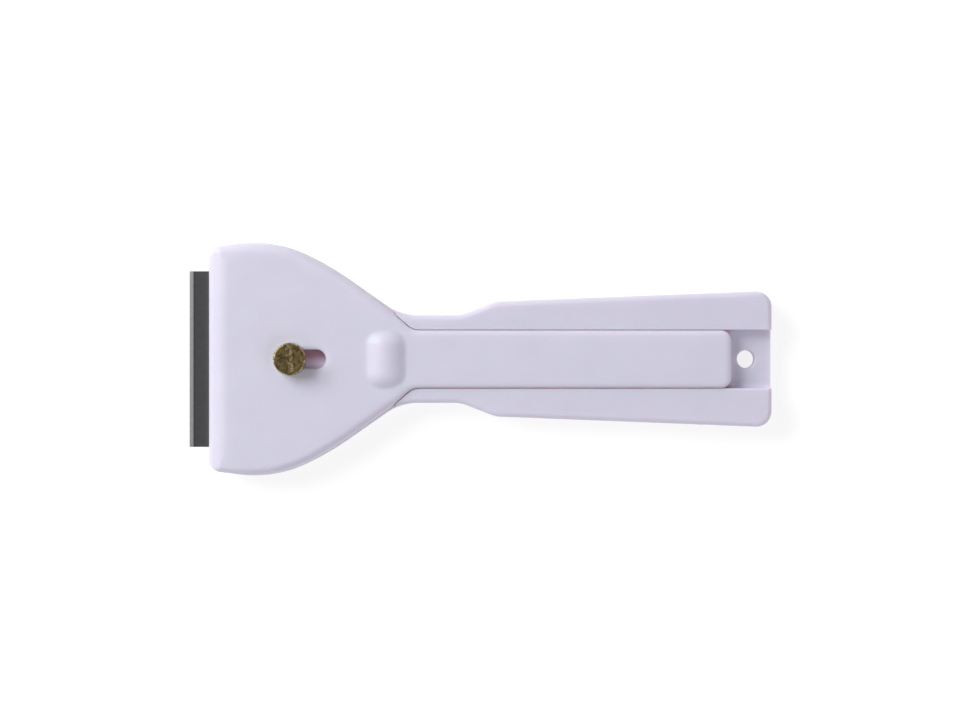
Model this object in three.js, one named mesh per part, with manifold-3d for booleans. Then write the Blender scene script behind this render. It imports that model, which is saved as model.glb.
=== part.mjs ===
// A hand scraper for clearing algae off aquarium glass.
// A flat handle carries a razor blade on its broad head. A cover with a long tongue lies on top: the
// tongue slides in a channel along the handle. One slotted brass screw, with a nut caught under the
// head, clamps the cover where it stands: back, with the blade bare, as here, or forward over the edge.
// Millimetres, +Z up. The blade faces -X, the handle ends at +X, and the underside lies on Z = 0.
// The origin is on the underside, half way between the blade's edge and the handle's end.
import * as THREE from "three";
import { mergeVertices } from "three/addons/utils/BufferGeometryUtils.js";
import Module from "manifold-3d";

const wasm = await Module();
wasm.setup();

// Driving dimensions.
const LENGTH = 129; // blade edge to handle end
const BLADE_LENGTH = 39;
const BLADE_WIDTH = 18.8;
const BLADE_THICKNESS = 0.25;
const BLADE_GRIND = 0.9; // width of the ground edge
const BLADE_REACH = 4.45; // how far the blade stands out of the cover
const COVER_TRAVEL = 5.7; // how far the cover slides forward
const BASE_TOP = 5; // head plate and channel floor
const WING_TOP = 8.3; // grip surfaces beside the tongue
const COVER_TOP = 9.3; // cover's head and tongue
const PAD_HEIGHT = 1.6; // thumb pad above the cover
const PAD_HALF_LENGTH = 4.65;
const PAD_HALF_WIDTH = 6.65;
const TONGUE_HALF_WIDTH = 6.35;
const NECK_HALF_WIDTH = 9.7;
const SCREW_HEAD_RADIUS = 3.6;
const SCREW_HEAD_HEIGHT = 4;
const SCREW_RADIUS = 1.95; // an M4 thread
const NUT_ACROSS_FLATS = 7;
const NUT_THICKNESS = 2.2; // a thin M4 nut

// Running gaps between the pieces.
const COVER_LIFT = 0.05;
const TONGUE_GAP = 0.25;
const BLADE_GAP = 0.15;
const NUT_GAP = 0.1;

// Places along the object.
const BLADE_EDGE_X = -LENGTH / 2;
const BLADE_MIDDLE_X = BLADE_EDGE_X + BLADE_WIDTH / 2;
const BLADE_BACK_X = BLADE_EDGE_X + BLADE_WIDTH;
const COVER_FRONT_X = BLADE_EDGE_X + BLADE_REACH;
const BASE_FRONT_X = COVER_FRONT_X + 0.8;
const SCREW_X = -41.8;
const PAD_X = -20.8;
const WING_FRONT_X = -18.6;
const TONGUE_END_X = 55.5;
const HANG_HOLE_X = 59.05;
const HANDLE_END_X = LENGTH / 2;

// Walls of the two mouldings.
const PLATE_UNDER = BASE_TOP - 2; // underside of the head plate and channel floor
const WING_UNDER = WING_TOP - 1.8; // underside of the grip surfaces
const COVER_BOTTOM = BASE_TOP + COVER_LIFT;
const COVER_ROOF = COVER_TOP - 1.9; // underside of the cover's top wall
const BASE_WALL = 1.8;
const CHANNEL_HALF_WIDTH = TONGUE_HALF_WIDTH + TONGUE_GAP;
const RIB = 1.2;
const RIB_FOOT = 0.4; // the ribs stop this far short of the rim
const BED_DEPTH = 0.3; // blade's bed in the head plate
const NUT_TOP = 3.55;
const CLAMP_BOSS_TOP = 6.6; // the boss that the screw clamps the cover's slot collar down on
const CLAMP_BOSS_RADIUS = 3.7;
const COLLAR_WALL = 1.5; // the collar round the cover's slot
const NUT_BOSS_RADIUS = 5.6;
const HANG_BOSS_RADIUS = 4.3;

// Holes.
const BASE_SCREW_HOLE_RADIUS = 2.15;
const COVER_SLOT_RADIUS = 2.1;
const HANG_HOLE_RADIUS = 2;
const BLADE_HOLE_RADIUS = 1.6; // also the notches in the blade's ends

const FAR = 100; // past everything, for cutters
const BELOW = -1; // just under everything
const ARC_STEP = THREE.MathUtils.degToRad(9);
const FILLET_STEPS = 5;
const ROUND_SIDES = 40;

// ---- Outlines: mirrored polygons with rounded corners, whose edges can be moved inwards ----

// Corners of one half, front to back: [x, y, corner radius]. The other half is its mirror image.
const COVER_CORNERS = [
  [COVER_FRONT_X, 25.2, 1.5],
  [-45.6, 26.4, 29.5],
  [-33.5, 20.5, 60],
  [-19.5, 10.45, 10],
  [-14.9, TONGUE_HALF_WIDTH, 4],
  [TONGUE_END_X, TONGUE_HALF_WIDTH, 2.2],
];
const BASE_CORNERS = [
  [BASE_FRONT_X, 25.4, 1],
  [-45.6, 26.62, 29.3],
  [-33.4, 20.8, 60],
  [-17.6, NECK_HALF_WIDTH, 12],
  [-4.2, NECK_HALF_WIDTH, 8],
  [3.4, 12.7, 6],
  [HANDLE_END_X, 15.1, 3.4],
];
const PAD_CORNERS = [
  [PAD_X - PAD_HALF_LENGTH, PAD_HALF_WIDTH, 2.4],
  [PAD_X + PAD_HALF_LENGTH, PAD_HALF_WIDTH, 2.4],
];

// The whole polygon, anticlockwise from above, with its edges moved inwards by insets: first the front
// edge's, then that of the edge behind each corner.
function polygon(corners, insets) {
  const low = corners.map(([x, y, r], corner) => {
    return { x, y: -y, r, corner, before: insets[corner], after: insets[corner + 1] };
  });
  const high = low.map((c) => ({ ...c, y: -c.y, before: c.after, after: c.before })).reverse();
  return [...low, ...high].map((c, i, all) => {
    const previous = all[(i + all.length - 1) % all.length];
    const next = all[(i + 1) % all.length];
    const a = new THREE.Vector2(c.x - previous.x, c.y - previous.y).normalize();
    const b = new THREE.Vector2(next.x - c.x, next.y - c.y).normalize();
    const turn = a.cross(b);
    const angle = Math.atan2(turn, a.dot(b));
    // Where the two moved edges meet.
    const x = c.x + (b.x * c.before - a.x * c.after) / turn;
    const y = c.y + (b.y * c.before - a.y * c.after) / turn;
    const shrink = (Math.sign(turn) * (c.before + c.after)) / 2;
    return { x, y, a, angle, r: Math.max(c.r - shrink, 0.05), corner: c.corner };
  });
}

// Points of a rounded polygon. Each has the number of the corner it belongs to.
function outline(corners, insets) {
  return polygon(corners, insets).flatMap(({ x, y, a, angle, r, corner }) => {
    const side = Math.sign(angle);
    const reach = r * Math.tan(Math.abs(angle) / 2);
    const radial = new THREE.Vector2(a.y, -a.x).multiplyScalar(r * side);
    const centre = new THREE.Vector2(x, y).addScaledVector(a, -reach).sub(radial);
    const steps = Math.max(2, Math.ceil(Math.abs(angle) / ARC_STEP));
    return Array.from({ length: steps + 1 }, (_, k) => {
      const spoke = radial.clone().rotateAround(new THREE.Vector2(), (angle * k) / steps);
      return { x: centre.x + spoke.x, y: centre.y + spoke.y, corner };
    });
  });
}

function evenly(corners, inset) {
  return Array(corners.length + 1).fill(inset);
}

// ---- Solids ----

function solid(geometry) {
  geometry.deleteAttribute("normal");
  geometry.deleteAttribute("uv");
  const merged = mergeVertices(geometry, 1e-5);
  const vertProperties = merged.attributes.position.array;
  return new wasm.Manifold(new wasm.Mesh({ numProp: 3, vertProperties, triVerts: merged.index.array }));
}

// A closed skin over rings of matching points, from the lowest ring to the highest.
function loft(rings) {
  const count = rings[0].length;
  const top = (rings.length - 1) * count;
  const index = [];
  for (let low = 0; low < top; low += count) {
    for (let i = 0; i < count; i += 1) {
      const [p, q] = [low + i, low + ((i + 1) % count)];
      index.push(p, q, q + count, p, q + count, p + count);
    }
  }
  const cap = (ring) => THREE.ShapeUtils.triangulateShape(ring.map((p) => new THREE.Vector2(p.x, p.y)), []);
  cap(rings[0]).forEach(([a, b, c]) => index.push(a, c, b));
  cap(rings.at(-1)).forEach(([a, b, c]) => index.push(top + a, top + b, top + c));
  const points = rings.flat().flatMap(({ x, y, z }) => [x, y, z]);
  return solid(
    new THREE.BufferGeometry()
      .setAttribute("position", new THREE.Float32BufferAttribute(points, 3))
      .setIndex(new THREE.Uint32BufferAttribute(index, 1)),
  );
}

function at(points, z) {
  return points.map((p) => ({ ...p, z }));
}

// A prism standing on an outline.
function prism(points, low, high) {
  return loft([at(points, low), at(points, high)]);
}

// Rings that round off a top edge: insets are the rounding's widths, drops its depth at each corner.
function topRounding(corners, insets, drops, top) {
  return Array.from({ length: FILLET_STEPS + 1 }, (_, k) => {
    const phi = (Math.PI / 2) * (k / FILLET_STEPS);
    const moved = insets.map((width) => width * (1 - Math.cos(phi)));
    return outline(corners, moved).map((p) => ({ ...p, z: top - drops[p.corner] * (1 - Math.sin(phi)) }));
  });
}

function box(x0, x1, y0, y1, z0, z1) {
  const geometry = new THREE.BoxGeometry(x1 - x0, y1 - y0, z1 - z0);
  return solid(geometry.translate((x0 + x1) / 2, (y0 + y1) / 2, (z0 + z1) / 2));
}

function cylinder(x, y, radius, low, high, sides = ROUND_SIDES) {
  const geometry = new THREE.CylinderGeometry(radius, radius, high - low, sides);
  return solid(geometry.rotateX(Math.PI / 2).translate(x, y, (low + high) / 2));
}

// A round pin or disc with both ends chamfered.
function turned(x, y, radius, low, high, chamfer) {
  const profile = [
    new THREE.Vector2(0, low),
    new THREE.Vector2(radius - chamfer, low),
    new THREE.Vector2(radius, low + chamfer),
    new THREE.Vector2(radius, high - chamfer),
    new THREE.Vector2(radius - chamfer, high),
    new THREE.Vector2(0, high),
  ];
  return solid(new THREE.LatheGeometry(profile, ROUND_SIDES).rotateX(Math.PI / 2).translate(x, y, 0));
}

// A hexagonal prism with two of its flats facing +Y and -Y.
function hexagon(x, acrossFlats, low, high) {
  const radius = acrossFlats / Math.sqrt(3);
  const geometry = new THREE.CylinderGeometry(radius, radius, high - low, 6).rotateY(Math.PI / 6);
  return solid(geometry.rotateX(Math.PI / 2).translate(x, 0, (low + high) / 2));
}

// A profile in X and Z, drawn out along Y.
function crosswise(profile, halfWidth) {
  const shape = new THREE.Shape(profile.map(([x, z]) => new THREE.Vector2(x, z)));
  const geometry = new THREE.ExtrudeGeometry(shape, { depth: 2 * halfWidth, bevelEnabled: false });
  return solid(geometry.rotateX(Math.PI / 2).translate(0, halfWidth, 0));
}

// An upright bar with round ends, long in X: the shape of the cover's slot, its collar and the boss below.
function slotBar(radius, low, high) {
  const [front, back] = [SCREW_X, SCREW_X + COVER_TRAVEL];
  const shape = new THREE.Shape()
    .absarc(back, 0, radius, -Math.PI / 2, Math.PI / 2, false)
    .absarc(front, 0, radius, Math.PI / 2, (3 * Math.PI) / 2, false);
  const extrusion = { depth: high - low, bevelEnabled: false, curveSegments: ROUND_SIDES / 2 };
  return solid(new THREE.ExtrudeGeometry(shape, extrusion).translate(0, 0, low));
}

function union(solids) {
  return solids.reduce((a, b) => a.add(b));
}

// ---- The handle, with the head plate that carries the blade ----

// The handle's outer form, up to the grip surfaces.
function handleSlab() {
  const [footChamfer, edgeRadius] = [0.6, 1.2];
  const foot = at(outline(BASE_CORNERS, evenly(BASE_CORNERS, footChamfer)), 0);
  const wall = at(outline(BASE_CORNERS, evenly(BASE_CORNERS, 0)), footChamfer);
  const drops = BASE_CORNERS.map(() => edgeRadius);
  return loft([foot, wall, ...topRounding(BASE_CORNERS, evenly(BASE_CORNERS, edgeRadius), drops, WING_TOP)]);
}

// The room for the cover: everything above the head plate, and the channel for the tongue.
function coverRoom() {
  const aroundCover = outline(COVER_CORNERS, evenly(COVER_CORNERS, -TONGUE_GAP));
  return union([
    box(-FAR, WING_FRONT_X, -FAR, FAR, BASE_TOP, FAR),
    prism(aroundCover, BASE_TOP, FAR),
    box(0, FAR, -CHANNEL_HALF_WIDTH, CHANNEL_HALF_WIDTH, BASE_TOP, FAR),
  ]);
}

// The pockets in the underside, with ribs and the two bosses left standing between them.
function undersidePockets() {
  const [headFront, headBack, neckBack, wingFront] = [-49.5, -17.6, -16, 5];
  const end = HANDLE_END_X - BASE_WALL;
  const channelWallInside = CHANNEL_HALF_WIDTH - 0.7;
  const channelWallOutside = CHANNEL_HALF_WIDTH + 1.6;
  const inside = outline(BASE_CORNERS, [0, ...BASE_CORNERS.map(() => BASE_WALL)]);

  const spokes = [0, 45, 90, 135].map((degrees) => {
    const bar = new THREE.BoxGeometry(FAR, RIB, FAR).rotateZ(THREE.MathUtils.degToRad(degrees));
    return solid(bar.translate(SCREW_X, 0, FAR / 2 + RIB_FOOT));
  });
  const nutBoss = cylinder(SCREW_X, 0, NUT_BOSS_RADIUS, BELOW, FAR);
  const headPocket = prism(inside, BELOW, PLATE_UNDER)
    .intersect(box(headFront, headBack, -FAR, FAR, BELOW, FAR))
    .subtract(union([...spokes, nutBoss]));

  const crossRibs = union(
    [-8, 4, 16, 28, 40, 52].map((x) => box(x - RIB / 2, x + RIB / 2, -FAR, FAR, RIB_FOOT, FAR)),
  );
  const hangBoss = cylinder(HANG_HOLE_X, 0, HANG_BOSS_RADIUS, BELOW, FAR);
  const middlePocket = box(neckBack, end, -channelWallInside, channelWallInside, BELOW, PLATE_UNDER)
    .subtract(crossRibs)
    .subtract(hangBoss);
  const wingPockets = prism(inside, BELOW, WING_UNDER)
    .intersect(box(wingFront, end, -FAR, FAR, BELOW, FAR))
    .subtract(box(-FAR, FAR, -channelWallOutside, channelWallOutside, BELOW, FAR))
    .subtract(crossRibs);
  return union([headPocket, middlePocket, wingPockets]);
}

// The slanting underside of the nose, which lets the blade lie at a low angle to the glass.
function underNose() {
  const [heelX, lipX, lipZ] = [-52.5, BASE_FRONT_X - 1, 3.9];
  return crosswise([[heelX, BELOW], [heelX, 0], [lipX, lipZ], [-FAR, lipZ], [-FAR, BELOW]], FAR);
}

// Round pegs through the blade's hole and the notches in its ends, or the cuts that make them.
function bladePegs(radius, low, high) {
  const chamfer = 0.3;
  const places = [-BLADE_LENGTH / 2, 0, BLADE_LENGTH / 2];
  return union(places.map((y) => turned(BLADE_MIDDLE_X, y, radius, low, high, chamfer)));
}

function baseHandle() {
  const bedSide = BLADE_LENGTH / 2 + BLADE_GAP;
  const bladeBed = box(-FAR, BLADE_BACK_X + BLADE_GAP, -bedSide, bedSide, BASE_TOP - BED_DEPTH, FAR);
  const nutPocket = hexagon(SCREW_X, NUT_ACROSS_FLATS + 2 * NUT_GAP, BELOW, NUT_TOP + COVER_LIFT);
  const [rootedAt, pegTop] = [BASE_TOP - 1, BASE_TOP + 0.9];
  const pegs = bladePegs(BLADE_HOLE_RADIUS - BLADE_GAP, rootedAt, pegTop);
  const clampBoss = slotBar(CLAMP_BOSS_RADIUS, rootedAt, CLAMP_BOSS_TOP);
  return handleSlab()
    .subtract(coverRoom())
    .subtract(undersidePockets())
    .subtract(underNose())
    .subtract(bladeBed)
    .add(pegs)
    .add(clampBoss)
    .subtract(nutPocket)
    .subtract(cylinder(SCREW_X, 0, BASE_SCREW_HOLE_RADIUS, BELOW, FAR))
    .subtract(cylinder(HANG_HOLE_X, 0, HANG_HOLE_RADIUS, BELOW, FAR));
}

// ---- The sliding cover, with its tongue and thumb pad ----

// Everything above the cover's long front slope, which rounds down towards the blade.
function aboveFrontSlope() {
  const [length, drop, steps] = [4.6, 3, 7];
  const slope = Array.from({ length: steps + 1 }, (_, k) => {
    const phi = (Math.PI / 2) * (k / steps);
    return [COVER_FRONT_X + length * (1 - Math.cos(phi)), COVER_TOP - drop * (1 - Math.sin(phi))];
  });
  return crosswise([[COVER_FRONT_X - 1, FAR], [COVER_FRONT_X - 1, COVER_TOP - drop], ...slope], FAR);
}

// A pillow for the thumb, highest along its middle line across the tongue.
function thumbPad() {
  const [steps, endRise, sideRise] = [6, 4.3, 2.3];
  const rings = Array.from({ length: steps + 1 }, (_, k) => {
    const share = k / steps;
    const height = PAD_HEIGHT * Math.sin((Math.PI / 2) * share);
    return at(outline(PAD_CORNERS, [endRise * share, sideRise * share, endRise * share]), COVER_TOP + height);
  });
  return loft([at(rings[0], COVER_TOP - 1), ...rings]);
}

// The hollow under the cover, with ribs left standing to press on the blade and to stiffen the tongue.
function coverHollow() {
  const frontWall = 3.2;
  const inside = outline(COVER_CORNERS, [0, 2, 1.9, 1.9, 1.7, 1.7, 1.8]);
  const bladeRibs = [-16.5, -5.5, 5.5, 16.5].map((y) => {
    return box(-FAR, BLADE_BACK_X, y - RIB / 2, y + RIB / 2, BELOW, FAR);
  });
  const tongueRibs = [-10, 6, 22, 38].map((x) => {
    return box(x - RIB / 2, x + RIB / 2, -FAR, FAR, COVER_BOTTOM + RIB_FOOT, FAR);
  });
  const slotCollar = slotBar(COVER_SLOT_RADIUS + COLLAR_WALL, CLAMP_BOSS_TOP + COVER_LIFT, FAR);
  return prism(inside, BASE_TOP - 1, COVER_ROOF)
    .subtract(box(-FAR, COVER_FRONT_X + frontWall, -FAR, FAR, BELOW, FAR))
    .subtract(union([...bladeRibs, ...tongueRibs, slotCollar]));
}

function slidingCover() {
  const edgeWidths = [2.2, 2.2, 2.2, 2.2, 1.9, 1.5, 1.7];
  const edgeDrops = [2.2, 2.2, 2.2, 2.2, 1.5, 1.5];
  const rim = at(outline(COVER_CORNERS, evenly(COVER_CORNERS, 0)), COVER_BOTTOM);
  return loft([rim, ...topRounding(COVER_CORNERS, edgeWidths, edgeDrops, COVER_TOP)])
    .subtract(aboveFrontSlope())
    .add(thumbPad())
    .subtract(coverHollow())
    .subtract(slotBar(COVER_SLOT_RADIUS, BELOW, FAR));
}

// ---- Blade, screw and nut ----

// A single-edged blade lying in its bed, with its edge ground from both sides.
function razorBlade() {
  const bedClearance = 0.02;
  const low = BASE_TOP - BED_DEPTH + bedClearance;
  const high = low + BLADE_THICKNESS;
  const profile = [
    [BLADE_EDGE_X, (low + high) / 2],
    [BLADE_EDGE_X + BLADE_GRIND, low],
    [BLADE_BACK_X, low],
    [BLADE_BACK_X, high],
    [BLADE_EDGE_X + BLADE_GRIND, high],
  ];
  return crosswise(profile, BLADE_LENGTH / 2).subtract(bladePegs(BLADE_HOLE_RADIUS, 0, FAR));
}

// One ring of the knurled head: a star of small teeth.
function knurlRing(radius, z) {
  const [teeth, depth] = [36, 0.18];
  return Array.from({ length: 2 * teeth }, (_, k) => {
    const r = radius - (k % 2) * depth;
    const angle = (Math.PI * k) / teeth;
    return { x: r * Math.cos(angle), y: r * Math.sin(angle), z };
  });
}

// The screw about its own axis: a knurled, slotted head on a shank that reaches through the nut.
function clampScrew() {
  const [chamfer, slotWidth, slotDepth, tipZ] = [0.45, 1.6, 1.5, 1];
  const slotTurn = THREE.MathUtils.degToRad(5);
  const low = COVER_TOP + COVER_LIFT;
  const high = low + SCREW_HEAD_HEIGHT;
  const head = loft([
    knurlRing(SCREW_HEAD_RADIUS - chamfer, low),
    knurlRing(SCREW_HEAD_RADIUS, low + chamfer),
    knurlRing(SCREW_HEAD_RADIUS, high - chamfer),
    knurlRing(SCREW_HEAD_RADIUS - chamfer, high),
  ]);
  const driverSlot = new THREE.BoxGeometry(slotWidth, FAR, 2 * slotDepth).rotateZ(slotTurn).translate(0, 0, high);
  return head.subtract(solid(driverSlot)).add(turned(0, 0, SCREW_RADIUS, tipZ, low + 1, chamfer));
}

// The nut about its own axis.
function hexNut() {
  const low = NUT_TOP - NUT_THICKNESS;
  const [chamfer, acrossCorners] = [0.35, (2 * NUT_ACROSS_FLATS) / Math.sqrt(3)];
  const roundedCorners = turned(0, 0, acrossCorners / 2 + 0.05, low, NUT_TOP, chamfer);
  return hexagon(0, NUT_ACROSS_FLATS, low, NUT_TOP)
    .intersect(roundedCorners)
    .subtract(cylinder(0, 0, SCREW_RADIUS + NUT_GAP, BELOW, FAR));
}

// ---- The assembly ----

const WHITE_PLASTIC = { color: 0xdcd9e8, roughness: 0.45, metalness: 0 };
const BRASS = { color: 0x9c8248, roughness: 0.35, metalness: 1 };
const BLADE_STEEL = { color: 0x6a696c, roughness: 0.3, metalness: 1 };

function piece(name, body, look) {
  const { numProp, vertProperties, triVerts } = body.getMesh();
  const geometry = new THREE.BufferGeometry()
    .setAttribute("position", new THREE.BufferAttribute(vertProperties, numProp))
    .setIndex(new THREE.BufferAttribute(triVerts, 1));
  geometry.computeVertexNormals();
  const mesh = new THREE.Mesh(geometry, new THREE.MeshStandardMaterial(look));
  mesh.name = name;
  return mesh;
}

const clamp = new THREE.Group();
clamp.position.x = SCREW_X;
clamp.add(piece("clamp_screw", clampScrew(), BRASS), piece("hex_nut", hexNut(), BRASS));

const scraper = new THREE.Group();
scraper.add(
  piece("base_handle", baseHandle(), WHITE_PLASTIC),
  piece("sliding_cover", slidingCover(), WHITE_PLASTIC),
  piece("razor_blade", razorBlade(), BLADE_STEEL),
  clamp,
);

export default scraper;
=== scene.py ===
"""The looks of a glass scraper for an aquarium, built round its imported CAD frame.

Shapes are made in millimetres and scaled to metres as each piece is finished. The dimensions are those of
the CAD part, apart from softer front corners and a closer gap round the tongue. This script adds the fine
surface, such as roundings, the thread, the knurl and the materials.
"""

import math

import bmesh
import bpy
from mathutils import Matrix, Vector
from mathutils.geometry import delaunay_2d_cdt


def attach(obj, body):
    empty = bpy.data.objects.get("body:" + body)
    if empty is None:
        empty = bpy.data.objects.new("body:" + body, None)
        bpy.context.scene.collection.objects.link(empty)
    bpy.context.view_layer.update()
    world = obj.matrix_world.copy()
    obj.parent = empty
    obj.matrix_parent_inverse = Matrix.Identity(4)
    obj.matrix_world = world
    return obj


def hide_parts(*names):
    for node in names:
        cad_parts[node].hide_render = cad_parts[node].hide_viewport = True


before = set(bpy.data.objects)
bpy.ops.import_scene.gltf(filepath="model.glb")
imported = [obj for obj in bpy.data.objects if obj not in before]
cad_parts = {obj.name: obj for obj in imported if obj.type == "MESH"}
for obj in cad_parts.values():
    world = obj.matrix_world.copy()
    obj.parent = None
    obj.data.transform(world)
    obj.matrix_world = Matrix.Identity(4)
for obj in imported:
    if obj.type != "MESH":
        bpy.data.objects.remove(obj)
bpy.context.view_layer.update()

MM = 0.001

# Driving dimensions, in millimetres.
LENGTH = 129.0
BLADE_LENGTH = 39.0
BLADE_WIDTH = 18.8
BLADE_THICKNESS = 0.25
BLADE_GRIND = 0.9
COVER_TRAVEL = 5.7
BASE_TOP = 5.0
WING_TOP = 8.3
COVER_TOP = 9.3
PAD_HEIGHT = 1.6
PAD_HALF_LENGTH = 4.65
PAD_HALF_WIDTH = 6.65
TONGUE_HALF_WIDTH = 6.35
NECK_HALF_WIDTH = 9.7
SCREW_HEAD_RADIUS = 3.6
SCREW_HEAD_HEIGHT = 4.0
THREAD_RADIUS = 1.95
THREAD_DEPTH = 0.36
THREAD_PITCH = 0.7
NUT_ACROSS_FLATS = 7.0
NUT_THICKNESS = 2.2

# Running gaps.
COVER_LIFT = 0.05
TONGUE_GAP = 0.08
BLADE_GAP = 0.15
NUT_GAP = 0.1

# Places along the object.
BLADE_EDGE_X = -LENGTH / 2
BLADE_MIDDLE_X = BLADE_EDGE_X + BLADE_WIDTH / 2
BLADE_BACK_X = BLADE_EDGE_X + BLADE_WIDTH
BLADE_HOLES = (-BLADE_LENGTH / 2, 0, BLADE_LENGTH / 2)
COVER_FRONT_X = BLADE_EDGE_X + 4.45
BASE_FRONT_X = COVER_FRONT_X + 0.8
SCREW_X = -41.8
PAD_X = -20.8
WING_FRONT_X = -18.6
TONGUE_END_X = 55.5
HANG_HOLE_X = 59.05
HANDLE_END_X = LENGTH / 2

# Walls of the two mouldings.
PLATE_UNDER = BASE_TOP - 2.0
WING_UNDER = WING_TOP - 1.8
COVER_BOTTOM = BASE_TOP + COVER_LIFT
COVER_ROOF = COVER_TOP - 1.9
BASE_WALL = 1.8
CHANNEL_HALF_WIDTH = TONGUE_HALF_WIDTH + TONGUE_GAP
RIB = 1.2
RIB_FOOT = 0.4
BED_DEPTH = 0.3
NUT_TOP = 3.55
CLAMP_BOSS_TOP = 6.6
CLAMP_BOSS_RADIUS = 3.7
COLLAR_WALL = 1.5
NUT_BOSS_RADIUS = 5.6
HANG_BOSS_RADIUS = 4.3
PEG_RADIUS = 1.45

# Holes.
BASE_SCREW_HOLE_RADIUS = 2.15
COVER_SLOT_RADIUS = 2.1
HANG_HOLE_RADIUS = 2.0
BLADE_HOLE_RADIUS = 1.6

FAR = 100.0
ARC_STEP = math.radians(4)
ROUND_SIDES = 72

# Corners of one half of each outline, front to back: x, y, corner radius.
COVER_CORNERS = [
    (COVER_FRONT_X, 24.7, 3.0),
    (-45.6, 26.4, 27.0),
    (-33.5, 20.5, 60.0),
    (-19.5, 10.45, 10.0),
    (-14.9, TONGUE_HALF_WIDTH, 4.0),
    (TONGUE_END_X, TONGUE_HALF_WIDTH, 2.2),
]
BASE_CORNERS = [
    (BASE_FRONT_X, 24.9, 2.6),
    (-45.6, 26.6, 27.0),
    (-33.4, 20.8, 60.0),
    (-17.6, NECK_HALF_WIDTH, 12.0),
    (-4.2, NECK_HALF_WIDTH, 8.0),
    (3.4, 12.7, 6.0),
    (HANDLE_END_X, 15.1, 3.4),
]


# ---- Camera ----


def add_camera():
    data = bpy.data.cameras.new("camera")
    data.lens = 100
    data.sensor_width = 36
    data.clip_end = 20
    camera = bpy.data.objects.new("camera", data)
    bpy.context.collection.objects.link(camera)
    sideways, height = -0.0002, 0.597
    camera.location = (0, sideways, height)
    bpy.context.scene.camera = camera


# ---- Outlines: mirrored polygons with rounded corners, whose edges can be moved inwards ----


def outline(corners, insets):
    """Points (x, y, corner number), anticlockwise from above.

    insets says how far each edge moves inwards: the front edge, then the edge behind each corner.
    """
    low = [(Vector((x, -y)), r, i, insets[i], insets[i + 1]) for i, (x, y, r) in enumerate(corners)]
    high = [(Vector((p.x, -p.y)), r, i, after, before) for p, r, i, before, after in reversed(low)]
    ring = low + high
    points = []
    for k, (point, radius, corner, before, after) in enumerate(ring):
        a = (point - ring[k - 1][0]).normalized()
        b = (ring[(k + 1) % len(ring)][0] - point).normalized()
        turn = a.x * b.y - a.y * b.x
        angle = math.atan2(turn, a.dot(b))
        moved = point + (b * before - a * after) / turn
        side = math.copysign(1, turn)
        radius = max(radius - side * (before + after) / 2, 0.05)
        reach = radius * math.tan(abs(angle) / 2)
        radial = Vector((a.y, -a.x)) * radius * side
        centre = moved - a * reach - radial
        steps = max(3, math.ceil(abs(angle) / ARC_STEP))
        for step in range(steps + 1):
            spoke = radial.copy()
            spoke.rotate(Matrix.Rotation(angle * step / steps, 2))
            points.append((centre.x + spoke.x, centre.y + spoke.y, corner))
    return points


def evenly(corners, inset):
    return [inset] * (len(corners) + 1)


def obround(radius):
    """The cover's slot and the shapes round it, anticlockwise."""
    half = ROUND_SIDES // 2
    points = []
    for centre, start in ((SCREW_X + COVER_TRAVEL, -math.pi / 2), (SCREW_X, math.pi / 2)):
        for k in range(half + 1):
            angle = start + math.pi * k / half
            points.append((centre + radius * math.cos(angle), radius * math.sin(angle)))
    return points


def circle(radius, x=0.0, y=0.0, sides=ROUND_SIDES):
    angles = [2 * math.pi * k / sides for k in range(sides)]
    return [(x + radius * math.cos(a), y + radius * math.sin(a)) for a in angles]


# ---- Meshes ----


def solid(points, faces, name="solid"):
    mesh = bpy.data.meshes.new(name)
    mesh.from_pydata([Vector(p) for p in points], [], faces)
    mesh.validate()
    obj = bpy.data.objects.new(name, mesh)
    bpy.context.collection.objects.link(obj)
    return obj


def at(ring, z):
    return [(p[0], p[1], z) for p in ring]


def band(start_low, start_high, count):
    """Quads between two rings of points."""
    return [
        (start_low + i, start_low + (i + 1) % count, start_high + (i + 1) % count, start_high + i)
        for i in range(count)
    ]


def loft(rings):
    """A closed skin over matching rings, from the lowest to the highest."""
    count = len(rings[0])
    faces = []
    for k in range(len(rings) - 1):
        faces += band(k * count, (k + 1) * count, count)
    top = (len(rings) - 1) * count
    faces.append(tuple(reversed(range(count))))
    faces.append(tuple(range(top, top + count)))
    return solid([p for ring in rings for p in ring], faces)


def prism(ring, low, high):
    return loft([at(ring, low), at(ring, high)])


def rectangle(x0, x1, y0, y1):
    return [(x0, y0), (x1, y0), (x1, y1), (x0, y1)]


def box(x0, x1, y0, y1, z0, z1):
    return prism(rectangle(x0, x1, y0, y1), z0, z1)


def flared(ring_at, low, top, radius, steps=4):
    """A cutter that leaves a rounding of this radius round its mouth, at the height top.

    ring_at(distance) is the cutter's outline moved outwards by distance.
    """
    rings = [at(ring_at(0), low)]
    for k in range(steps + 1):
        phi = math.pi / 2 * k / steps
        rings.append(at(ring_at(radius * (1 - math.cos(phi))), top - radius * (1 - math.sin(phi))))
    rings.append(at(ring_at(radius + 1), top + 4))
    return loft(rings)


def crosswise(profile, half_width):
    """A profile of (x, z) points, anticlockwise as seen from -Y, drawn out along Y."""
    count = len(profile)
    points = [(x, -half_width, z) for x, z in profile] + [(x, half_width, z) for x, z in profile]
    faces = [tuple(reversed(f)) for f in band(0, count, count)]
    faces += [tuple(range(count)), tuple(reversed(range(count, 2 * count)))]
    return solid(points, faces)


def applied(obj):
    """obj with its modifiers worked into its mesh."""
    graph = bpy.context.evaluated_depsgraph_get()
    mesh = bpy.data.meshes.new_from_object(obj.evaluated_get(graph))
    obj.modifiers.clear()
    obj.data = mesh
    return obj


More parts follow.
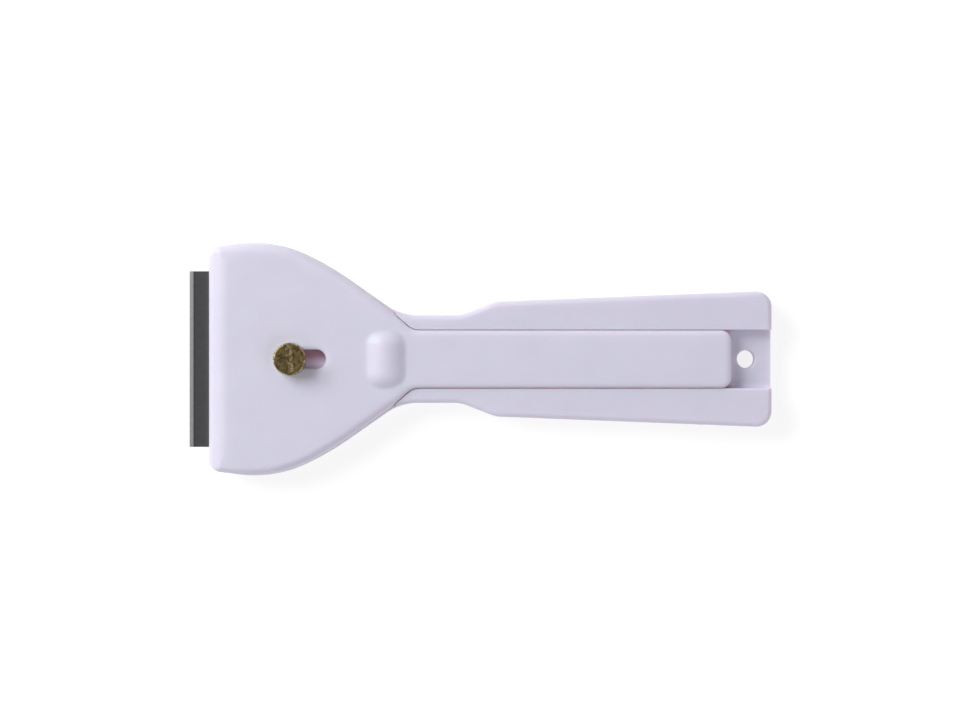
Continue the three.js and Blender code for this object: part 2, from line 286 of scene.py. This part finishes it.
def combine(obj, other, operation):
    modifier = obj.modifiers.new("combine", "BOOLEAN")
    modifier.operation = operation
    modifier.solver = "EXACT"
    modifier.object = other
    applied(obj)
    bpy.data.objects.remove(other)
    return obj


def cut(obj, *others):
    for other in others:
        combine(obj, other, "DIFFERENCE")
    return obj


def joined(obj, *others):
    for other in others:
        combine(obj, other, "UNION")
    return obj


def common(obj, other):
    return combine(obj, other, "INTERSECT")


def cleaned(obj):
    """obj with doubled points merged and flat neighbouring faces made one."""
    mesh = bmesh.new()
    mesh.from_mesh(obj.data)
    bmesh.ops.remove_doubles(mesh, verts=mesh.verts, dist=1e-4)
    bmesh.ops.dissolve_limit(mesh, angle_limit=math.radians(0.2), verts=mesh.verts, edges=mesh.edges)
    mesh.to_mesh(obj.data)
    mesh.free()
    return obj


def finished(obj, name, material, body, node, sharp=35):
    """Scale a piece to metres and hand it over in place of its CAD node."""
    obj.name = name
    obj.data.name = name
    obj.data.transform(Matrix.Scale(MM, 4))
    obj.data.polygons.foreach_set("use_smooth", [True] * len(obj.data.polygons))
    obj.data.set_sharp_from_angle(angle=math.radians(sharp))
    weighted = obj.modifiers.new("flat_faces_stay_flat", "WEIGHTED_NORMAL")
    weighted.keep_sharp = True
    weighted.weight = 100
    obj.data.materials.clear()
    obj.data.materials.append(material)
    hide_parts(node)
    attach(obj, body)
    return obj


def rounding(corners, widths, depths, steps, softness=2.0):
    """Rings that round off a top edge, as (x, y, drop) points.

    A softness of 2 gives an elliptical section; more makes the rounding start more gently.
    """
    support = 0.35
    rings = []
    for k in range(steps + 1):
        phi = math.pi / 2 * k / steps
        across = 1 - math.cos(phi) ** (2 / softness)
        down = 1 - math.sin(phi) ** (2 / softness)
        ring = outline(corners, [w * across for w in widths])
        rings.append([(x, y, depths[corner] * down) for x, y, corner in ring])
    ring = outline(corners, [w + support for w in widths])
    rings.append([(x, y, 0.0) for x, y, _ in ring])
    return rings


# ---- The handle ----


def handle_slab(top, edge_radius):
    foot_radius = 0.6
    rings = []
    for k in range(4):
        phi = math.pi / 2 * k / 3
        ring = outline(BASE_CORNERS, evenly(BASE_CORNERS, foot_radius * (1 - math.sin(phi))))
        rings.append(at(ring, foot_radius * (1 - math.cos(phi))))
    depths = [edge_radius] * len(BASE_CORNERS)
    for ring in rounding(BASE_CORNERS, evenly(BASE_CORNERS, edge_radius), depths, 6):
        rings.append([(x, y, top - drop) for x, y, drop in ring])
    return loft(rings)


def underside_pockets():
    head_front, head_back, neck_back, wing_front = -49.5, -17.6, -16.0, 5.0
    end = HANDLE_END_X - BASE_WALL
    wall_inside = CHANNEL_HALF_WIDTH - 0.7
    wall_outside = CHANNEL_HALF_WIDTH + 1.6
    inside = outline(BASE_CORNERS, [0.0] + [BASE_WALL] * len(BASE_CORNERS))

    head = common(prism(inside, -1, PLATE_UNDER), box(head_front, head_back, -FAR, FAR, -2, FAR))
    for degrees in (0, 45, 90, 135):
        spoke = box(-FAR / 2, FAR / 2, -RIB / 2, RIB / 2, RIB_FOOT, FAR)
        turn = Matrix.Rotation(math.radians(degrees), 4, "Z")
        spoke.data.transform(Matrix.Translation((SCREW_X, 0, 0)) @ turn)
        cut(head, spoke)
    cut(head, prism(circle(NUT_BOSS_RADIUS, SCREW_X), -2, FAR))

    middle = box(neck_back, end, -wall_inside, wall_inside, -1, PLATE_UNDER)
    cut(middle, prism(circle(HANG_BOSS_RADIUS, HANG_HOLE_X), -2, FAR))
    wings = []
    for low, high in ((-FAR, -wall_outside), (wall_outside, FAR)):
        wings.append(common(prism(inside, -1, WING_UNDER), box(wing_front, end, low, high, -2, FAR)))
    for x in (-8, 4, 16, 28, 40, 52):
        for pocket in (middle, *wings):
            cut(pocket, box(x - RIB / 2, x + RIB / 2, -FAR, FAR, RIB_FOOT, FAR))
    return [head, middle, *wings]


def around_cover(distance):
    ring = outline(COVER_CORNERS, evenly(COVER_CORNERS, -TONGUE_GAP - distance))
    return [(x, y) for x, y, _ in ring]


def channel(distance):
    half_width = CHANNEL_HALF_WIDTH + distance
    return rectangle(0, FAR, -half_width, half_width)


def before_grips(distance):
    return rectangle(-FAR, WING_FRONT_X + distance, -FAR, FAR)


def hang_hole(distance):
    return circle(HANG_HOLE_RADIUS + distance, HANG_HOLE_X)


def cover_room():
    """Cutters for the room that the cover lies in, with the grips' edges rounded."""
    edge = 0.35
    return [
        flared(before_grips, BASE_TOP, WING_TOP, edge),
        flared(around_cover, BASE_TOP, WING_TOP, edge),
        flared(channel, BASE_TOP, WING_TOP, edge),
    ]


def build_handle(material):
    plate_edge, grip_edge = 0.4, 1.2
    head_plate = common(handle_slab(BASE_TOP, plate_edge), box(-FAR, WING_FRONT_X, -FAR, FAR, -1, FAR))
    handle = common(handle_slab(WING_TOP, grip_edge), box(WING_FRONT_X, FAR, -FAR, FAR, -1, FAR))
    cut(joined(handle, head_plate), *cover_room(), *underside_pockets())
    heel_x, lip_x, lip_z = -52.5, BASE_FRONT_X - 1, 3.9
    nose = [(heel_x, -1), (heel_x, 0), (lip_x, lip_z), (-FAR, lip_z), (-FAR, -1)]
    bed_side = BLADE_LENGTH / 2 + BLADE_GAP
    cut(
        handle,
        crosswise(nose, FAR),
        box(-FAR, BLADE_BACK_X + BLADE_GAP, -bed_side, bed_side, BASE_TOP - BED_DEPTH, FAR),
    )
    rooted_at, peg_top = BASE_TOP - 1, BASE_TOP + 0.9
    for y in BLADE_HOLES:
        joined(handle, prism(circle(PEG_RADIUS, BLADE_MIDDLE_X, y), rooted_at, peg_top))
    joined(handle, prism(obround(CLAMP_BOSS_RADIUS), rooted_at, CLAMP_BOSS_TOP))
    pocket_radius = (NUT_ACROSS_FLATS / 2 + NUT_GAP) / math.cos(math.pi / 6)
    hole_edge = 0.3
    cut(
        handle,
        prism(circle(pocket_radius, SCREW_X, sides=6), -1, NUT_TOP + COVER_LIFT),
        prism(circle(BASE_SCREW_HOLE_RADIUS, SCREW_X), -1, FAR),
        flared(hang_hole, -1, BASE_TOP, hole_edge),
    )
    cleaned(handle)
    return finished(handle, "handle_moulding", material, "handle", "base_handle")


# ---- The sliding cover ----

SLOPE_LENGTH = 4.6
SLOPE_DROP = 3.0
DISH_WIDTH = 1.3
DISH_DROP = 0.5


def pad_rise(x, y):
    """Height of the thumb pad: a pillow, steepest a little way in from its foot and level in the middle."""
    end_width, foot, squareness = 3.6, 0.2, 2.2
    across = abs(x - PAD_X) / PAD_HALF_LENGTH
    along = max(0, (abs(y) - (PAD_HALF_WIDTH - end_width)) / end_width)
    share = max(0, 1 - (across**squareness + along**squareness) ** (1 / squareness))
    if share < foot:
        rise = share * share / (2 * foot)
    else:
        rise = share - foot / 2 - (share - foot) ** 2 / (2 * (1 - foot))
    return PAD_HEIGHT * 2 * rise


def slope_drop(x):
    share = min(max(1 - (x - COVER_FRONT_X) / SLOPE_LENGTH, 0), 1)
    return SLOPE_DROP * (1 - math.sqrt(1 - share * share))


def cover_height(x, y, drop):
    fall = (drop**3 + slope_drop(x) ** 3) ** (1 / 3)
    return COVER_TOP + pad_rise(x, y) - fall


def inside_ring(x, y, ring):
    odd = False
    for k, (x1, y1, *_) in enumerate(ring):
        x0, y0 = ring[k - 1][:2]
        if (y0 > y) != (y1 > y) and x < x0 + (x1 - x0) * (y - y0) / (y1 - y0):
            odd = not odd
    return odd


def grid(x0, x1, y0, y1, step_x, step_y):
    columns = max(1, round((x1 - x0) / step_x))
    rows = max(1, round((y1 - y0) / step_y))
    return [
        (x0 + (x1 - x0) * i / columns, y0 + (y1 - y0) * j / rows)
        for i in range(columns + 1)
        for j in range(rows + 1)
    ]


def sheet_between(outer, hole, extra):
    """Triangles over the area inside outer and outside hole, through the extra points."""
    flat = [Vector(p[:2]) for p in [*outer, *hole, *extra]]
    count, hole_count = len(outer), len(hole)
    edges = [(i, (i + 1) % count) for i in range(count)]
    edges += [(count + i, count + (i + 1) % hole_count) for i in range(hole_count)]
    points, _, faces, origins, _, _ = delaunay_2d_cdt(flat, edges, [], 1, 1e-5)
    middles = [sum((points[v] for v in face), Vector((0, 0))) / 3 for face in faces]
    kept = [face for face, middle in zip(faces, middles) if not inside_ring(*middle, hole)]
    return [[origins[v][0] for v in face] for face in kept]


def cover_skin():
    """The cover's closed outer form, with its slot."""
    widths = [2.3, 2.3, 2.3, 2.3, 2.0, 1.6, 1.9]
    depths = [2.5, 2.8, 2.8, 1.4, 1.0, 1.2]
    rings = rounding(COVER_CORNERS, widths, depths, 10, softness=2.4)
    foot = 0.2
    rim = [(x, y, COVER_BOTTOM) for x, y, _ in outline(COVER_CORNERS, evenly(COVER_CORNERS, foot))]
    wall = [(x, y, COVER_BOTTOM + foot) for x, y, _ in outline(COVER_CORNERS, evenly(COVER_CORNERS, 0))]
    loops = [rim, wall] + [[(x, y, cover_height(x, y, d)) for x, y, d in ring] for ring in rings]
    count = len(rim)
    points = [p for loop in loops for p in loop]
    faces = []
    for k in range(len(loops) - 1):
        faces += band(k * count, (k + 1) * count, count)
    outer_start = (len(loops) - 1) * count

    slot_loops = [at(obround(COVER_SLOT_RADIUS + DISH_WIDTH + 0.3), COVER_TOP)]
    for k in range(7):
        phi = math.pi / 2 * (1 - k / 6)
        ring = obround(COVER_SLOT_RADIUS + DISH_WIDTH * (1 - math.cos(phi)))
        slot_loops.append(at(ring, COVER_TOP - DISH_DROP * (1 - math.sin(phi))))
    slot_loops.append(at(obround(COVER_SLOT_RADIUS), COVER_BOTTOM))
    slot_count = len(slot_loops[0])
    slot_start = len(points)
    for loop in slot_loops:
        points += loop
    for k in range(len(slot_loops) - 1):
        low = slot_start + k * slot_count
        faces += [tuple(reversed(f)) for f in band(low + slot_count, low, slot_count)]
    slot_end = slot_start + (len(slot_loops) - 1) * slot_count

    inner_ring = rings[-1]
    keep_off = obround(COVER_SLOT_RADIUS + DISH_WIDTH + 0.5)
    pad_x, pad_y, pad_step = 5.2, 7.2, 0.4
    extra = grid(PAD_X - pad_x, PAD_X + pad_x, -pad_y, pad_y, pad_step, pad_step)
    slope_start, slope_end, slope_y = COVER_FRONT_X + 2.9, COVER_FRONT_X + 5.2, 22
    extra += grid(slope_start, slope_end, -slope_y, slope_y, 0.35, 1.6)
    extra = [p for p in extra if inside_ring(*p, inner_ring) and not inside_ring(*p, keep_off)]
    extra_start = len(points)
    points += [(x, y, cover_height(x, y, 0)) for x, y in extra]
    number = [
        *range(outer_start, outer_start + count),
        *range(slot_start, slot_start + slot_count),
        *range(extra_start, extra_start + len(extra)),
    ]
    top = sheet_between(loops[-1], slot_loops[0], extra)
    faces += [tuple(number[v] for v in face) for face in top]
    number = [*range(count), *range(slot_end, slot_end + slot_count)]
    bottom = sheet_between(rim, slot_loops[-1], [])
    faces += [tuple(number[v] for v in reversed(face)) for face in bottom]
    return solid(points, faces)


def build_cover(material):
    front_wall = 3.2
    inside = outline(COVER_CORNERS, [0, 2, 1.9, 1.9, 1.7, 1.7, 1.8])
    hollow = prism(inside, BASE_TOP - 1, COVER_ROOF)
    cut(hollow, box(-FAR, COVER_FRONT_X + front_wall, -FAR, FAR, -1, FAR))
    cut(hollow, prism(obround(COVER_SLOT_RADIUS + COLLAR_WALL), CLAMP_BOSS_TOP + COVER_LIFT, FAR))
    for y in (-16.5, -5.5, 5.5, 16.5):
        cut(hollow, box(-FAR, BLADE_BACK_X, y - RIB / 2, y + RIB / 2, -1, FAR))
    for x in (-10, 6, 22, 38):
        cut(hollow, box(x - RIB / 2, x + RIB / 2, -FAR, FAR, COVER_BOTTOM + RIB_FOOT, FAR))
    cover = cut(cover_skin(), hollow)
    return finished(cover, "cover_moulding", material, "cover", "sliding_cover")


# ---- Blade, screw and nut ----


def build_blade(material):
    bed_clearance = 0.02
    low = BASE_TOP - BED_DEPTH + bed_clearance
    high = low + BLADE_THICKNESS
    middle = (low + high) / 2
    hone = 0.12
    thin = 0.03
    profile = [
        (BLADE_EDGE_X, middle),
        (BLADE_EDGE_X + hone, middle - thin),
        (BLADE_EDGE_X + BLADE_GRIND, low),
        (BLADE_BACK_X, low),
        (BLADE_BACK_X, high),
        (BLADE_EDGE_X + BLADE_GRIND, high),
        (BLADE_EDGE_X + hone, middle + thin),
    ]
    blade = crosswise(profile, BLADE_LENGTH / 2)
    for y in BLADE_HOLES:
        cut(blade, prism(circle(BLADE_HOLE_RADIUS, BLADE_MIDDLE_X, y), 0, FAR))
    return finished(blade, "blade", material, "handle", "razor_blade", sharp=3)


def thread_radius(angle, z, clearance=0.0):
    """Radius of the right-handed thread at an angle and a height: sloping flanks and flat crests."""
    turn = (z / THREAD_PITCH - angle / (2 * math.pi)) % 1
    flank = min(max(3 * abs(turn - 0.5) - 0.25, 0), 1)
    return THREAD_RADIUS - THREAD_DEPTH * flank + clearance


def thread_ring(z, sides, clearance=0.0, shrink=0.0):
    angles = [2 * math.pi * k / sides for k in range(sides)]
    radii = [thread_radius(a, z, clearance) - shrink for a in angles]
    return [(r * math.cos(a), r * math.sin(a), z) for a, r in zip(angles, radii)]


def levels(low, high, step):
    count = math.ceil((high - low) / step)
    return [low + (high - low) * k / count for k in range(count + 1)]


def build_screw(material):
    teeth, tooth_depth, chamfer = 38, 0.2, 0.5
    sides = teeth * 4
    low = COVER_TOP + COVER_LIFT
    high = low + SCREW_HEAD_HEIGHT
    thread_end = low - 1.2
    step = THREAD_PITCH / 8

    def plain_ring(radius, z):
        return at(circle(radius, sides=sides), z)

    def knurl_ring(radius, z, depth=tooth_depth):
        shares = (1.0, 0.85, 0.0, 0.85)
        radii = [radius - depth * (1 - shares[k % 4]) for k in range(sides)]
        angles = [2 * math.pi * k / sides for k in range(sides)]
        return [(r * math.cos(a), r * math.sin(a), z) for a, r in zip(angles, radii)]

    tip, taper_start, taper_end = 1.0, 1.05, 1.45
    rings = [plain_ring(THREAD_RADIUS - 0.5, tip)]
    for z in levels(taper_start, taper_end, step / 2):
        rings.append(thread_ring(z, sides, shrink=0.35 * (taper_end - z) / 0.4 * 0.2))
    rings += [thread_ring(z, sides) for z in levels(taper_end, thread_end, step)[1:]]
    neck_radius = THREAD_RADIUS - 0.3
    rings.append(plain_ring(neck_radius, thread_end + 0.15))
    rings.append(plain_ring(neck_radius, low - 0.1))
    rings.append(plain_ring(THREAD_RADIUS, low + 0.01))
    radius = SCREW_HEAD_RADIUS
    rings.append(plain_ring(radius - 0.35, low))
    rings.append(knurl_ring(radius - 0.1, low + 0.1, 0.06))
    rings += [knurl_ring(radius, z) for z in (low + 0.3, low + 1.3, high - 1.4)]
    for k in range(7):
        phi = math.pi / 2 * k / 6
        inwards = chamfer * (1 - math.cos(phi))
        down = chamfer * (1 - math.sin(phi))
        rings.append(knurl_ring(radius - inwards, high - down, tooth_depth * (1 - 0.14 * k)))
    rings.append(plain_ring(radius - chamfer - 0.2, high))
    screw = loft(rings)
    slot_width, slot_depth, slot_turn = 1.6, 1.5, math.radians(5)
    slot = box(-slot_width / 2, slot_width / 2, -FAR, FAR, high - slot_depth, FAR)
    slot.data.transform(Matrix.Rotation(slot_turn, 4, "Z"))
    cut(screw, slot)
    screw.data.transform(Matrix.Translation((SCREW_X, 0, 0)))
    return finished(screw, "thumb_screw", material, "screw", "clamp_screw", sharp=30)


def build_nut(material):
    """A hexagon nut with chamfered corners, as one skin round and through its threaded hole."""
    sides = 96
    low = NUT_TOP - NUT_THICKNESS
    corner = NUT_ACROSS_FLATS / math.sqrt(3)
    chamfer_width, chamfer_height = 0.6, 0.35
    angles = [2 * math.pi * k / sides for k in range(sides)]

    def hexagon_radius(angle):
        return NUT_ACROSS_FLATS / 2 / math.cos(angle % (math.pi / 3) - math.pi / 6)

    def outer_ring(z):
        depth = max(0, 1 - min(z - low, NUT_TOP - z) / chamfer_height)
        cone = corner - chamfer_width * depth
        radii = [min(hexagon_radius(a), cone) for a in angles]
        return [(r * math.cos(a), r * math.sin(a), z) for a, r in zip(angles, radii)]

    def bore_ring(z):
        lead = THREAD_RADIUS + 0.4 - min(z - low, NUT_TOP - z)
        radii = [max(thread_radius(a, z, NUT_GAP), lead) for a in angles]
        return [(r * math.cos(a), r * math.sin(a), z) for a, r in zip(angles, radii)]

    chamfer = [chamfer_height * k / 4 for k in range(5)]
    rings = [outer_ring(low + rise) for rise in chamfer]
    rings += [outer_ring(NUT_TOP - rise) for rise in reversed(chamfer)]
    rings += [bore_ring(z) for z in reversed(levels(low, NUT_TOP, THREAD_PITCH / 10))]
    faces = []
    for k in range(len(rings)):
        faces += band(k * sides, (k + 1) % len(rings) * sides, sides)
    nut = solid([p for ring in rings for p in ring], faces)
    nut.data.transform(Matrix.Translation((SCREW_X, 0, 0)))
    return finished(nut, "captive_nut", material, "nut", "hex_nut", sharp=30)


# ---- Materials ----


class Nodes:
    """A material's node tree, with short ways to add and wire nodes."""

    def __init__(self, name):
        self.material = bpy.data.materials.new(name)
        self.material.use_nodes = True
        self.tree = self.material.node_tree
        self.shader = self.tree.nodes["Principled BSDF"]
        self.place = self.add("ShaderNodeTexCoord").outputs["Object"]

    def add(self, kind, **settings):
        node = self.tree.nodes.new(kind)
        for key, value in settings.items():
            setattr(node, key, value)
        return node

    def wire(self, source, socket):
        self.tree.links.new(source, socket)

    def stretched(self, scale):
        mapping = self.add("ShaderNodeMapping")
        mapping.inputs["Scale"].default_value = scale
        self.wire(self.place, mapping.inputs["Vector"])
        return mapping.outputs["Vector"]

    def noise(self, size_mm, detail=3.0, stretch=None):
        node = self.add("ShaderNodeTexNoise")
        node.inputs["Scale"].default_value = 1 / (size_mm * MM)
        node.inputs["Detail"].default_value = detail
        self.wire(self.stretched(stretch) if stretch else self.place, node.inputs["Vector"])
        return node.outputs["Fac"]

    def ramp(self, source, stops):
        node = self.add("ShaderNodeValToRGB")
        elements = node.color_ramp.elements
        while len(elements) < len(stops):
            elements.new(0.5)
        for element, (position, colour) in zip(elements, stops):
            element.position = position
            element.color = (*colour, 1)
        self.wire(source, node.inputs["Fac"])
        return node.outputs["Color"]

    def blended(self, below, above, kind, share=1.0):
        node = self.add("ShaderNodeMix", data_type="RGBA", blend_type=kind)
        if isinstance(share, float):
            node.inputs["Factor"].default_value = share
        else:
            self.wire(share, node.inputs["Factor"])
        self.wire(below, node.inputs["A"])
        self.wire(above, node.inputs["B"])
        return node.outputs["Result"]

    def along(self, axis, start_mm, end_mm):
        """0 to 1 between two places along an axis."""
        split = self.add("ShaderNodeSeparateXYZ")
        self.wire(self.place, split.inputs["Vector"])
        node = self.add("ShaderNodeMapRange")
        node.inputs["From Min"].default_value = start_mm * MM
        node.inputs["From Max"].default_value = end_mm * MM
        self.wire(split.outputs[axis], node.inputs["Value"])
        return node.outputs["Result"]

    def spread(self, source, low, high):
        node = self.add("ShaderNodeMapRange")
        node.inputs["From Min"].default_value = 0.3
        node.inputs["From Max"].default_value = 0.7
        node.inputs["To Min"].default_value = low
        node.inputs["To Max"].default_value = high
        self.wire(source, node.inputs["Value"])
        return node.outputs["Result"]

    def bump(self, source, distance_mm, strength=1.0, under=None):
        node = self.add("ShaderNodeBump")
        node.inputs["Strength"].default_value = strength
        node.inputs["Distance"].default_value = distance_mm * MM
        self.wire(source, node.inputs["Height"])
        if under:
            self.wire(under, node.inputs["Normal"])
        return node.outputs["Normal"]


def painted_slot_shade(nodes, colour):
    """colour, with rosy painted shade and light on the top of the boss under the slot: painted shadow of
    the slot's wall and the screw, darkest towards +Y, and painted light towards -Y.
    """
    slot_shade_colour = nodes.ramp(nodes.along("Y", -1.4, 1.0), [(0.15, (0.86, 0.72, 0.86)), (0.85, (0.5, 0.27, 0.35))])
    below_slot = nodes.add("ShaderNodeMath", operation="MULTIPLY")
    nodes.wire(nodes.along("X", WING_FRONT_X - 10, WING_FRONT_X - 11), below_slot.inputs[0])
    nodes.wire(nodes.along("Z", CLAMP_BOSS_TOP - 0.3, CLAMP_BOSS_TOP - 0.1), below_slot.inputs[1])
    return nodes.blended(colour, slot_shade_colour, "MIX", below_slot.outputs["Value"])


def plastic(name, light, dark, with_painted_slot_shade=False):
    """White moulded plastic: slight sink waves, a fine spark-eroded grain and a little translucency.

    The base colour carries painted light and shade, placed by ambient occlusion: a rosy painted glow and
    painted shade in the narrow gaps, standing in for light that has passed through the plastic, and painted
    light in the corners of the shallow hollows.
    """
    nodes = Nodes(name)
    shader = nodes.shader.inputs
    body = nodes.ramp(nodes.noise(9, 4), [(0.3, dark), (0.7, light)])
    # Ambient occlusion places the painted glow, the painted shade in the gaps and the painted light in the
    # corners.
    openness = nodes.add("ShaderNodeAmbientOcclusion", samples=12)
    openness.inputs["Distance"].default_value = 2 * MM
    painted_rosy_glow, painted_rosy_shade, painted_corner_light = (0.97, 0.76, 0.88), (0.62, 0.42, 0.5), (0.86, 0.84, 0.95)
    painted_light_and_shade_stops = [(0.0, painted_rosy_glow), (0.3, painted_rosy_shade), (0.5, painted_corner_light)]
    painted_light_and_shade = nodes.ramp(openness.outputs["AO"], painted_light_and_shade_stops)
    openly = nodes.ramp(openness.outputs["AO"], [(0.3, (0, 0, 0)), (0.9, (1, 1, 1))])
    colour = nodes.blended(painted_light_and_shade, body, "MIX", openly)
    # On the handle, the painted shade and light of the slot go over this colour.
    nodes.wire(painted_slot_shade(nodes, colour) if with_painted_slot_shade else colour, shader["Base Color"])
    nodes.wire(nodes.spread(nodes.noise(2.5, 4), 0.4, 0.52), shader["Roughness"])
    waves = nodes.bump(nodes.noise(7, 2), 0.05, 0.5)
    nodes.wire(nodes.bump(nodes.noise(0.22, 2), 0.006, 0.6, waves), shader["Normal"])
    shader["Subsurface Weight"].default_value = 0.8
    shader["Subsurface Radius"].default_value = (1.0, 0.6, 0.68)
    shader["Subsurface Scale"].default_value = 3 * MM
    shader["Specular IOR Level"].default_value = 0.4
    return nodes.material


def turning_marks(nodes, centre_x):
    """Fine rings round the screw's axis."""
    mapping = nodes.add("ShaderNodeMapping")
    mapping.inputs["Location"].default_value = (-centre_x * MM, 0, 0)
    nodes.wire(nodes.place, mapping.inputs["Vector"])
    rings = nodes.add("ShaderNodeTexWave", wave_type="RINGS", rings_direction="Z")
    rings.inputs["Scale"].default_value = 1400
    rings.inputs["Distortion"].default_value = 0.6
    nodes.wire(mapping.outputs["Vector"], rings.inputs["Vector"])
    return rings.outputs["Fac"]


def brass(name, centre_x, face_z):
    """Turned brass with painted glints, and darker tones painted on the top face as its dark reflection,
    half of them in the bottom of the driver slot and below.
    """
    nodes = Nodes(name)
    shader = nodes.shader.inputs
    mottle = nodes.noise(0.9, 5)
    painted_glints = nodes.noise(0.5, 5)
    # The brightest stop paints glints on the clean brass.
    clean_and_painted_glint_tones = [(0.35, (0.2, 0.13, 0.05)), (0.5, (0.42, 0.3, 0.125)), (0.62, (0.95, 0.82, 0.58))]
    painted_dark_reflection_tones = [(0.35, (0.075, 0.055, 0.022)), (0.55, (0.2, 0.15, 0.065)), (0.75, (0.36, 0.27, 0.12))]
    clean_with_painted_glints = nodes.ramp(painted_glints, clean_and_painted_glint_tones)
    painted_dark_reflection = nodes.ramp(mottle, painted_dark_reflection_tones)
    # Darker tones painted on the top face stand in for its dark reflection; half of them in the slot's
    # bottom and below.
    height = nodes.along("Z", face_z - 2, face_z)
    painted_dark_face_mask = [(0.3, (0.5, 0.5, 0.5)), (0.4, (0, 0, 0)), (0.93, (0, 0, 0)), (0.99, (1, 1, 1))]
    nodes.wire(nodes.blended(clean_with_painted_glints, painted_dark_reflection, "MIX", nodes.ramp(height, painted_dark_face_mask)), shader["Base Color"])
    nodes.wire(nodes.spread(mottle, 0.4, 0.26), shader["Roughness"])
    nodes.wire(nodes.bump(turning_marks(nodes, centre_x), 0.012, 0.5), shader["Normal"])
    shader["Metallic"].default_value = 1.0
    return nodes.material


def steel(name):
    """Dark blade steel with grinding lines across it, and a bright ground edge."""
    nodes = Nodes(name)
    shader = nodes.shader.inputs
    lines = nodes.noise(0.09, 3, stretch=(0.04, 1, 1))
    width = 4.4
    grind = BLADE_GRIND / width
    tones = [
        (0.0, (0.3, 0.295, 0.31)),
        (grind * 0.95, (0.27, 0.265, 0.28)),
        (grind, (0.055, 0.054, 0.058)),
        (grind * 1.6, (0.075, 0.074, 0.078)),
        (0.75, (0.082, 0.08, 0.085)),
        (1.0, (0.115, 0.112, 0.12)),
    ]
    body = nodes.ramp(nodes.along("X", BLADE_EDGE_X, BLADE_EDGE_X + width), tones)
    scratches = nodes.ramp(lines, [(0.3, (0.82, 0.82, 0.82)), (0.7, (1.0, 1.0, 1.0))])
    nodes.wire(nodes.blended(body, scratches, "MULTIPLY"), shader["Base Color"])
    nodes.wire(nodes.spread(lines, 0.32, 0.42), shader["Roughness"])
    nodes.wire(nodes.bump(lines, 0.004, 0.5), shader["Normal"])
    shader["Metallic"].default_value = 0.6
    return nodes.material


def floor_material():
    """White sheet lit a little from below, which keeps the shadows on it faint."""
    nodes = Nodes("pale_floor")
    shader = nodes.shader.inputs
    tones = [(0.3, (0.3, 0.3, 0.3)), (0.7, (0.33, 0.33, 0.33))]
    nodes.wire(nodes.ramp(nodes.noise(60, 2), tones), shader["Base Color"])
    shader["Roughness"].default_value = 0.9
    shader["Specular IOR Level"].default_value = 0.1
    shader["Emission Color"].default_value = (1, 1, 1, 1)
    shader["Emission Strength"].default_value = 0.75
    return nodes.material


# ---- Floor and light ----


def add_floor():
    half = 2.0
    corners = [(-half, -half, 0), (half, -half, 0), (half, half, 0), (-half, half, 0)]
    floor = solid(corners, [(0, 1, 2, 3)], "floor")
    clearance = 0.2
    floor.location.z = -clearance * MM
    floor.data.materials.append(floor_material())


def add_light(name, place, size, power):
    data = bpy.data.lights.new(name, "AREA")
    data.shape = "DISK"
    data.size = size
    data.energy = power
    light = bpy.data.objects.new(name, data)
    bpy.context.collection.objects.link(light)
    light.location = place
    light.rotation_euler = (-Vector(place)).to_track_quat("-Z", "Y").to_euler()


def add_lights():
    add_light("key", (-0.8, 0.5, 0.75), 0.85, 14)
    add_light("fill", (0.7, -0.6, 0.9), 1.0, 2.5)
    world = bpy.data.worlds.new("studio")
    world.use_nodes = True
    background = world.node_tree.nodes["Background"].inputs
    background["Color"].default_value = (0.97, 0.97, 1.0, 1)
    background["Strength"].default_value = 0.45
    bpy.context.scene.world = world
    bpy.context.scene.view_settings.view_transform = "Standard"


add_camera()
# The handle's plastic carries the painted shade and light on the boss in the slot.
build_handle(plastic("handle_plastic", (0.62, 0.61, 0.708), (0.6, 0.59, 0.688), with_painted_slot_shade=True))
build_cover(plastic("cover_plastic", (0.635, 0.622, 0.72), (0.615, 0.602, 0.7)))
build_blade(steel("blade_steel"))
build_screw(brass("screw_brass", SCREW_X, COVER_TOP + COVER_LIFT + SCREW_HEAD_HEIGHT))
build_nut(brass("nut_brass", SCREW_X, COVER_TOP))
add_floor()
add_lights()
